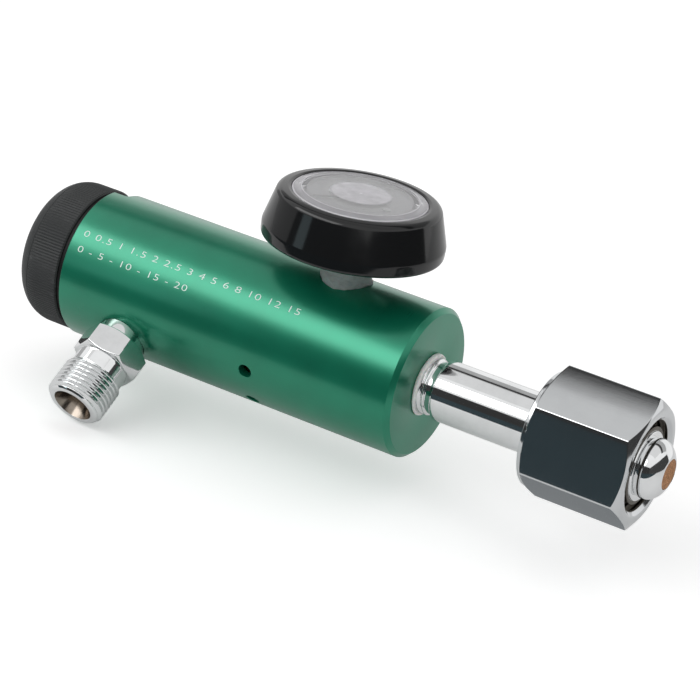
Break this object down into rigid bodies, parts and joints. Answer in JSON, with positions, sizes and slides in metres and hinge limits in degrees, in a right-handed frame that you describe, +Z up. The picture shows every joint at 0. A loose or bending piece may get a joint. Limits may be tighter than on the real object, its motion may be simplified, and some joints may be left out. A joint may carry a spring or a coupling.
{
  "type": "gas pressure regulator",
  "caption": "Oxygen regulator: a green sleeve with a selector knob at one end, a contents gauge on top, a threaded outlet below and a swivel nut with a nose on a stem.",
  "frame": {"origin": "centre of the mouth of the swivel nut's thread, on the body's axis", "axes": "+X out of the inlet towards the cylinder valve, along the body's axis; +Z up through the gauge's axis; +Y away from the outlet's side"},
  "size_m": [0.1634, 0.0567, 0.0653],
  "materials": {
    "green_anodised": "satin green anodised",
    "brass": "machined",
    "chrome": "polished",
    "nut_nickel": "fine brushed plating",
    "bronze": "sintered, grainy",
    "black_rubber": "glossy soft cover",
    "seal_rubber": "matte",
    "seal_plastic": "matte",
    "tape": "matte white",
    "knob_plastic": "satin",
    "steel": "turned",
    "lens": "clear, polished",
    "dial": "matte",
    "pointer": "matte black"
  },
  "bodies": {
    "body": {"shell": "green_anodised", "core_body": "brass", "inlet_stem": "chrome", "inlet_filter": "bronze", "stem_thread_tape": "tape", "gauge_thread_tape": "tape", "outlet_nipple": "chrome", "piston_rod_seal": "seal_rubber", "regulating_spring": "steel", "flow_block": "brass", "port_seal": "seal_plastic", "port_seal_spring": "steel", "selector_cover": "brass", "cover_seal": "seal_rubber", "spindle_seal": "seal_rubber", "cover_retaining_ring": "steel", "detent_spring": "steel", "gauge_boot": "black_rubber", "gauge_case": "steel", "gauge_lens": "lens", "gauge_dial": "dial", "gauge_dial_screws": "brass", "gauge_socket": "brass", "gauge_bourdon_tube": "brass", "gauge_lower_plate": "brass", "gauge_upper_plate": "brass", "gauge_pillars": "brass"},
    "nut": {"inlet_nut": "nut_nickel"},
    "piston": {"regulating_piston": "brass", "piston_seat": "seal_plastic", "piston_head_seal": "seal_rubber"},
    "selector": {"flow_knob": "knob_plastic", "knob_screw": "steel", "selector_spindle": "steel", "orifice_disc": "steel"},
    "detent": {"detent_ball": "steel"},
    "pointer": {"gauge_pointer": "pointer", "gauge_arbor": "steel"},
    "sector": {"gauge_sector": "brass"},
    "link": {"gauge_link": "brass"}
  },
  "joints": [
    {"name": "nut_turn", "type": "hinge", "parent": "body", "child": "nut", "pos_m": [0, 0, 0], "axis": [1, 0, 0], "continuous": true},
    {"name": "selector_turn", "type": "hinge", "parent": "body", "child": "selector", "pos_m": [-0.1443, 0, 0], "axis": [1, 0, 0], "continuous": true},
    {"name": "piston_slide", "type": "slide", "parent": "body", "child": "piston", "axis": [1, 0, 0], "range_m": [0, 0.0007], "stiffness_N_per_m": 20000, "springref_m": -0.003, "deforming": ["regulating_spring"]},
    {"name": "detent_slide", "type": "slide", "parent": "body", "child": "detent", "axis": [1, 0, 0], "range_m": [0, 0.00055], "stiffness_N_per_m": 1500, "springref_m": -0.001, "deforming": ["detent_spring"]},
    {"name": "sector_turn", "type": "hinge", "parent": "body", "child": "sector", "pos_m": [-0.07583, 0.00629, 0.0334], "axis": [0, 0, -1], "range_deg": [-45, 0]},
    {"name": "pointer_turn", "type": "hinge", "parent": "body", "child": "pointer", "pos_m": [-0.0789, 0, 0.0358], "axis": [0, 0, -1], "range_deg": [0, 270]},
    {"name": "link_turn", "type": "hinge", "parent": "sector", "child": "link", "pos_m": [-0.07301, 0.00526, 0.0328], "axis": [0, 0, -1], "range_deg": [0, 45]}
  ],
  "couplings": [
    {"joint": "pointer_turn", "follows": "sector_turn", "ratio": -6},
    {"joint": "link_turn", "follows": "sector_turn", "ratio": -1}
  ]
}
